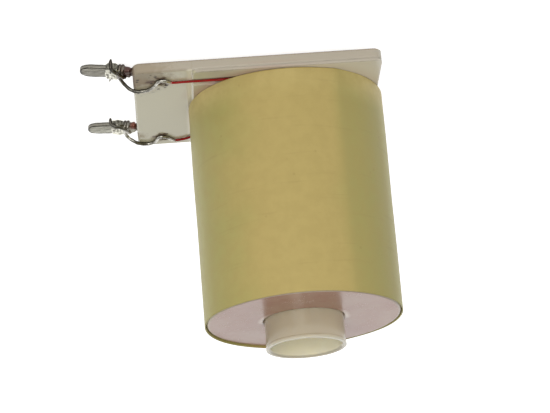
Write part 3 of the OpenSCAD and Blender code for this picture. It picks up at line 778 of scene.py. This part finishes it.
# leads: offsets from the tab's edge, the lug's middle and the lead's height on the tab; the tail is measured
# from the lug's root
leadSet = {
    "wire": 0.46, "neckWidth": 2.4, "wrapRoom": 0.1, "wrapFrom": 2.47, "wrapAngle": 60, "wrapTurns": 2,
    "wrapPitch": -0.55, "routeSteps": 12, "wrapSteps": 96, "sides": 16,
    "solderCoat": 0.11, "coatRun": 1.2, "twist": 2.6, "strand": 0.02, "lump": 0.02, "lumpWave": 2.2,
    "seed": {"start": 2.0, "finish": 3.0}, "tailSteps": 8, "spacing": 0.11, "smoothings": 3,
    "endRound": 0.6, "endLeast": 0.02, "tinFrom": {"start": -7.4, "finish": -7.0},
    "start": [
        (-22.19, -6.6, -0.22), (-19.1, -4.4, -0.22), (-15.19, -1.61, -0.22), (-11.94, 0.71, -0.22),
        (-10.06, 2.05, 0), (-8.2, 3, 0), (-7.2, 2.95, 0), (-6.5, 2.25, 0), (-5.8, 1.2, 0), (-4.9, 0.55, 0),
        (-4.2, 0.75, 0), (-3.8, 1.6, 0), (-3.5, 2.7, 0), (-2.8, 3.7, 0.01), (-1.9, 4.05, 0.02), (-0.9, 3.85, 0.04),
        (0.1, 3.3, 0), (1, 2.85, -0.4), (1.8, 2.6, -1), (2.3, 2, -1.45)],
    "finish": [
        (-19.7, 1, 0), (-15.4, 1.2, 0), (-9.6, 1.22, 0), (-7.7, 1.3, 0), (-6.8, 1, 0), (-5.9, 0.15, 0),
        (-5.2, -0.1, 0), (-4.6, 0.3, 0), (-4.1, 1.7, 0), (-3.5, 3.05, 0), (-2.6, 4.1, 0.02), (-1.5, 4.4, 0.04),
        (-0.4, 4.3, 0.03), (0.6, 4, -0.3), (1.5, 3.5, -1.05), (2.2, 2.5, -1.65)],
    "tail": {
        "start": [(1.6, 0.3, 1.45), (2.3, -1.2, 1.3), (3.2, -2.1, 1.2), (4.3, -2.6, 1.15), (5.0, -2.95, 0.6),
                  (5.05, -3.3, -0.5)],
        "finish": [(1.6, 0.3, 1.45), (2.3, -0.8, 1.4), (3.1, -1.6, 1.3), (3.7, -2.5, 1.1), (3.85, -2.95, 0.3),
                   (3.8, -3.3, -0.8)]},
}


def leadTube(spec, side):
    # route over the tab, rounded-box turns about the neck of the lug, then the tail over its ear; past the
    # enamel the section has two lobes that turn as they go, like a pair of strands under solder
    route = smoothPath(spec[side], spec["routeSteps"]) + (tabEdge, lugMiddle[side], leadHeight)
    steps = np.linspace(0, 360 * spec["wrapTurns"], spec["wrapSteps"])
    turn = np.radians(spec["wrapAngle"] + steps)
    reachY = spec["neckWidth"] / 2 + spec["wire"] / 2 + spec["wrapRoom"]
    reachZ = lugSet["thick"] / 2 + spec["wire"] / 2 + spec["wrapRoom"]
    cosine, sine = np.cos(turn), np.sin(turn)
    wrap = np.stack([
        spec["wrapFrom"] + spec["wrapPitch"] * steps / 360,
        reachY * np.sign(cosine) * np.sqrt(np.abs(cosine)),
        lugSet["thick"] / 2 + reachZ * np.sign(sine) * np.sqrt(np.abs(sine))], axis=-1)
    tail = smoothPath(spec["tail"][side], spec["tailSteps"])
    whole = np.concatenate([route[:-1], onLug(wrap, side), onLug(tail, side)])
    distance = np.concatenate([[0], np.cumsum(np.linalg.norm(np.diff(whole, axis=0), axis=1))])
    even = np.arange(0, distance[-1], spec["spacing"])
    path = np.stack([np.interp(even, distance, whole[:, k]) for k in range(3)], axis=-1)
    for k in range(spec["smoothings"]):  # rounds off the joins between the three stretches
        path[1:-1] = (path[:-2] + 2 * path[1:-1] + path[2:]) / 4
    tinStart = even[np.argmax(path[:, 0] > tabEdge + spec["tinFrom"][side])]
    past = even - tinStart
    coated = smoothStep(past, 0, spec["coatRun"])[:, None]
    around = np.linspace(0, 2 * math.pi, spec["sides"], endpoint=False)[None, :]
    lobes = spec["strand"] * np.cos(2 * (around - 2 * math.pi * past[:, None] / spec["twist"]))
    lumps = spec["lump"] * ripple(spec["lumpWave"] * past[:, None], around, spec["seed"][side])
    radius = spec["wire"] / 2 + coated * (spec["solderCoat"] + lobes + lumps)
    ends = np.sqrt(np.clip(np.minimum(even, even[-1] - even) / spec["endRound"], spec["endLeast"], 1))[:, None]
    points, faces = tubeAlong(path, radius * ends, spec["sides"])
    height = (points[..., 2] - path[:, None, 2]) / radius
    uv = np.stack(np.broadcast_arrays(past[:, None], height), axis=-1)
    return points, faces, uv


for side in lugMiddle:
    makePiece(side + "LeadWire", [leadTube(leadSet, side)], wireFinish, "coil", side + "_lead")


cornerMost = 0.98  # the share of a section's half width or half height that its corners may take up


def sectionLoft(x, halfWidth, low, high, corner, crown, rounds, flats):
    # a rounded box section carried along x: corner arcs stand at the ends of its two broad faces, which
    # swell by the crown in the middle
    arc = np.linspace(0, math.pi / 2, rounds)
    flat = np.linspace(-1, 1, flats + 2)[1:-1]
    spans = np.concatenate([np.ones(rounds), -flat, -np.ones(2 * rounds), flat, np.ones(rounds)])
    sides = np.concatenate([np.ones(2 * rounds + flats), -np.ones(2 * rounds + flats)])
    cosine = np.concatenate([np.cos(arc), 0 * flat, -np.cos(arc[::-1]), -np.cos(arc), 0 * flat, np.cos(arc[::-1])])
    halfSine = np.concatenate([np.sin(arc), 0 * flat + 1, np.sin(arc[::-1])])
    sine = np.concatenate([halfSine, -halfSine])
    half = (high - low)[:, None] / 2
    bend = np.minimum(corner, np.minimum(half, halfWidth[:, None]) * cornerMost)
    y = spans * (halfWidth[:, None] - bend) + bend * cosine
    z = (high + low)[:, None] / 2 + sides * (half - bend) + bend * sine + crown * sides * (1 - spans ** 2)
    return np.stack([np.broadcast_to(x[:, None], y.shape), y, z], axis=-1), tubeFaces(*y.shape)


def lugBlade(spec, side):
    # the half width steps from stem to neck, ears and blade, and follows a quarter circle to the tip;
    # u is the gap to the nearest edge, less on the far side and at the tip, and v the height in the metal
    x = np.linspace(spec["stem"][0], spec["reach"], spec["steps"])
    half = np.full_like(x, spec["stem"][1])
    for last, part in (("stem", "neck"), ("neck", "ears"), ("ears", "blade")):
        start, width = spec[part]
        half += (width - spec[last][1]) * smoothStep(x, start - spec["step"] / 2, start + spec["step"] / 2)
    into = np.clip((x - (spec["reach"] - spec["tipRound"])) / spec["tipRound"], 0, 1)
    half -= spec["tipRound"] * (1 - np.sqrt(1 - into ** 2)) * spec["tipFlat"]
    pinch = spec["pinch"] * smoothStep(x, spec["reach"] - spec["pinchRun"], spec["reach"]) ** 2
    outside = smoothStep(x, *spec["outside"])
    low = spec["seat"] * (1 - outside) + pinch
    high = spec["thick"] - spec["seat"] - pinch
    crown = spec["crown"] * outside[:, None]
    points, faces = sectionLoft(x, half, low, high, spec["corner"], crown, spec["cornerSteps"], spec["flatSteps"])
    along, across, up = np.moveaxis(points, -1, 0)
    fromNear, fromFar = half[:, None] + across, half[:, None] - across
    toSide = np.minimum(fromNear + spec["nearLean"] * up, spec["farShare"] * fromFar)
    toEdge = np.minimum(toSide, spec["tipShare"] * (spec["reach"] - along))
    uv = np.stack([toEdge, up / spec["thick"]], axis=-1)
    waves = spec["swellWaves"]
    swell = spec["swell"] * ripple(waves[0] * along, waves[1] * across, spec["seed"][side])
    points[..., 2] += swell * outside[:, None]
    return onLug(points, side), faces, uv


for side in lugMiddle:
    makePiece(side + "LugBlade", [lugBlade(lugSet, side)], tinFinish, "coil", side + "_terminal")


# solder: a lumpy sleeve round the ears, with whiskers left where the iron was drawn off
beadSet = {
    "from": 0.12, "ears": 2.3, "to": 5.0, "middle": 3.7, "half": 2.75, "neckHalf": 1.5, "endHalf": 1.25,
    "rise": 0.3, "film": 0.2, "endRise": 0.04, "fromRun": 0.4, "toRun": 0.3, "corner": 0.55, "crown": 0.12,
    "lump": 0.15, "lumpWaves": (1.9, 1.6), "furrow": 0.06, "slant": (4.6, 1.5), "least": 0.2,
    "seed": {"start": 1.5, "finish": 4.2},
    "steps": 120, "cornerSteps": 9, "flatSteps": 21, "whiskerWidth": (0.3, 0.05), "whiskerSteps": 10,
    "whiskers": {
        "start": [[(2.9, 2.2, 0.5), (3.0, 2.8, 0.6), (3.3, 3.2, 0.7)],
                  [(2.6, -1.6, 1.0), (2.55, -2.0, 1.25), (2.5, -2.2, 1.5)]],
        "finish": [[(3.9, 2.2, 0.5), (4.1, 3.0, 0.8), (4.3, 3.5, 1.1)],
                   [(2.9, -2.0, 0.9), (2.85, -2.4, 1.0), (2.8, -2.7, 1.1)]]},
}


def solderBead(spec, side):
    # a sleeve of solder: narrow round the wire on the neck, then wide and high over the ears, thin at both
    # ends, with slanting swells where the wire lies under it; u is the gap to its outline and v its height
    seed = spec["seed"][side]
    x = np.linspace(spec["from"], spec["to"], spec["steps"])
    into = np.clip((x - spec["ears"]) / (spec["middle"] - spec["ears"]), 0, 1)
    out = np.clip((spec["to"] - x) / (spec["to"] - spec["middle"]), 0, 1)
    fill = np.sqrt(np.sin(into * math.pi / 2) * np.sin(out * math.pi / 2))
    begin = smoothStep(x, spec["from"], spec["from"] + spec["fromRun"])
    begin *= smoothStep(x, spec["to"], spec["to"] - spec["toRun"])
    half = spec["endHalf"] + (spec["neckHalf"] - spec["endHalf"]) * begin + (spec["half"] - spec["neckHalf"]) * fill
    rise = spec["endRise"] + spec["film"] * begin + (spec["rise"] - spec["film"]) * fill
    high, crown = lugSet["thick"] + rise, spec["crown"] * fill[:, None]
    points, faces = sectionLoft(x, half, -rise, high, spec["corner"], crown, spec["cornerSteps"], spec["flatSteps"])
    along, across, up = np.moveaxis(points, -1, 0)
    uv = np.stack([half[:, None] - np.abs(across), up], axis=-1)
    waves, slant = spec["lumpWaves"], spec["slant"]
    lumps = spec["lump"] * ripple(waves[0] * along, waves[1] * across + up, seed)
    lumps += spec["furrow"] * np.sin(along * slant[0] + across * slant[1] + seed)
    away = points - np.array([0, 0, lugSet["thick"] / 2])
    away[..., 0] = 0
    size = np.linalg.norm(away, axis=-1, keepdims=True)
    points = points + away / np.maximum(size, spec["least"]) * lumps[..., None] * begin[:, None, None]
    shells = [(onLug(points, side), faces, uv)]
    for knots in spec["whiskers"][side]:
        path = smoothPath(knots, spec["whiskerSteps"])
        width = np.linspace(*spec["whiskerWidth"], len(path))[:, None]
        spike, spikeFaces = tubeAlong(path, width, spec["whiskerSteps"])
        shells.append((onLug(spike, side), spikeFaces, np.ones((*spike.shape[:2], 2))))
    return shells


for side in lugMiddle:
    makePiece(side + "SolderBead", solderBead(beadSet, side), solderFinish, "coil", side + "_solder")


# studio: pale floor under the lowest point, a sky that is bright at the horizon, soft lamps
studioSet = {
    "horizon": 1.1, "zenith": 0.28, "sides": 0.58, "sideSpan": (0.35, 0.9), "behind": 1.41, "behindSpan": (0.25, 0.85),
    "floorColour": (0.86, 0.86, 0.86), "floorGlow": 0.78, "floorSize": 4000, "floorGap": 0.02,
}


def seenDirectly(tree):
    # 1 for what the camera, a reflection or a clear piece sees, 0 for light that only falls on things
    path = put(tree, "ShaderNodeLightPath").outputs
    return either(tree, path["Is Camera Ray"], path["Is Glossy Ray"], path["Is Transmission Ray"])


def makeFloor(spec, height):
    # a square sheet; its own glow only shows to the eye and in reflections, so the shadow stays
    size = spec["floorSize"] / 2
    corner = np.array([(-1, -1), (1, -1), (1, 1), (-1, 1)]) * size
    mesh = bpy.data.meshes.new("floor")
    mesh.from_pydata(np.column_stack([corner, np.full(4, height)]) * mm, [], [[0, 1, 2, 3]])
    floor = bpy.data.objects.new("floor", mesh)
    bpy.context.scene.collection.objects.link(floor)
    material = bpy.data.materials.new("paleFloor")
    material.use_nodes = True
    tree = material.node_tree
    glow = both(tree, seenDirectly(tree), spec["floorGlow"])
    feed(tree, tree.nodes["Principled BSDF"], {
        "Base Color": (*spec["floorColour"], 1), "Roughness": 1.0, "Specular IOR Level": 0.0,
        "Emission Color": (1, 1, 1, 1), "Emission Strength": glow})
    mesh.materials.append(material)
    floor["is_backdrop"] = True


def makeSky(spec):
    # light falls off from the horizon to the zenith and towards both sides, and is strongest behind the coil;
    # the camera sees plain white
    world = bpy.data.worlds.new("studioSky")
    world.use_nodes = True
    bpy.context.scene.world = world
    tree = world.node_tree
    split = axesOf(tree, put(tree, "ShaderNodeTexCoord").outputs["Generated"])
    fall = {"Value": split["Z"], "To Min": spec["horizon"], "To Max": spec["zenith"]}
    level = put(tree, "ShaderNodeMapRange", fall).outputs[0]
    aside = between(tree, maths(tree, "ABSOLUTE", split["X"]), spec["sideSpan"], to=(1.0, spec["sides"]))
    behind = between(tree, split["Y"], spec["behindSpan"], to=(1.0, spec["behind"]))
    level = both(tree, level, aside, behind)
    toEye = put(tree, "ShaderNodeLightPath").outputs["Is Camera Ray"]
    strength = put(tree, "ShaderNodeMix", {0: toEye, 2: level, 3: 1.0}).outputs[0]
    feed(tree, tree.nodes["Background"], {"Color": (1, 1, 1, 1), "Strength": strength})


lampSet = [
    {"name": "keyLamp", "from": (150, -520, 230), "size": 300, "power": 1.16, "colour": (1.0, 0.98, 0.95)},
    {"name": "fillLamp", "from": (-260, -420, 160), "size": 300, "power": 0.2, "colour": (0.97, 0.985, 1.0)},
]


def makeLamp(spec):
    # a square soft lamp that faces the middle of the coil
    light = bpy.data.lights.new(spec["name"], "AREA")
    light.size = spec["size"] * mm
    light.energy = spec["power"]
    light.color = spec["colour"]
    lamp = bpy.data.objects.new(spec["name"], light)
    place = Vector(spec["from"]) * mm
    aim = Vector(cameraSet["aim"]) * mm - place
    lamp.matrix_world = Matrix.Translation(place) @ aim.to_track_quat("-Z", "Y").to_matrix().to_4x4()
    bpy.context.scene.collection.objects.link(lamp)


makeFloor(studioSet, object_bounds()[0][2] / mm - studioSet["floorGap"])
makeSky(studioSet)
for lampSpec in lampSet:
    makeLamp(lampSpec)
bpy.context.scene.view_settings.view_transform = "Standard"
print("studio lit")
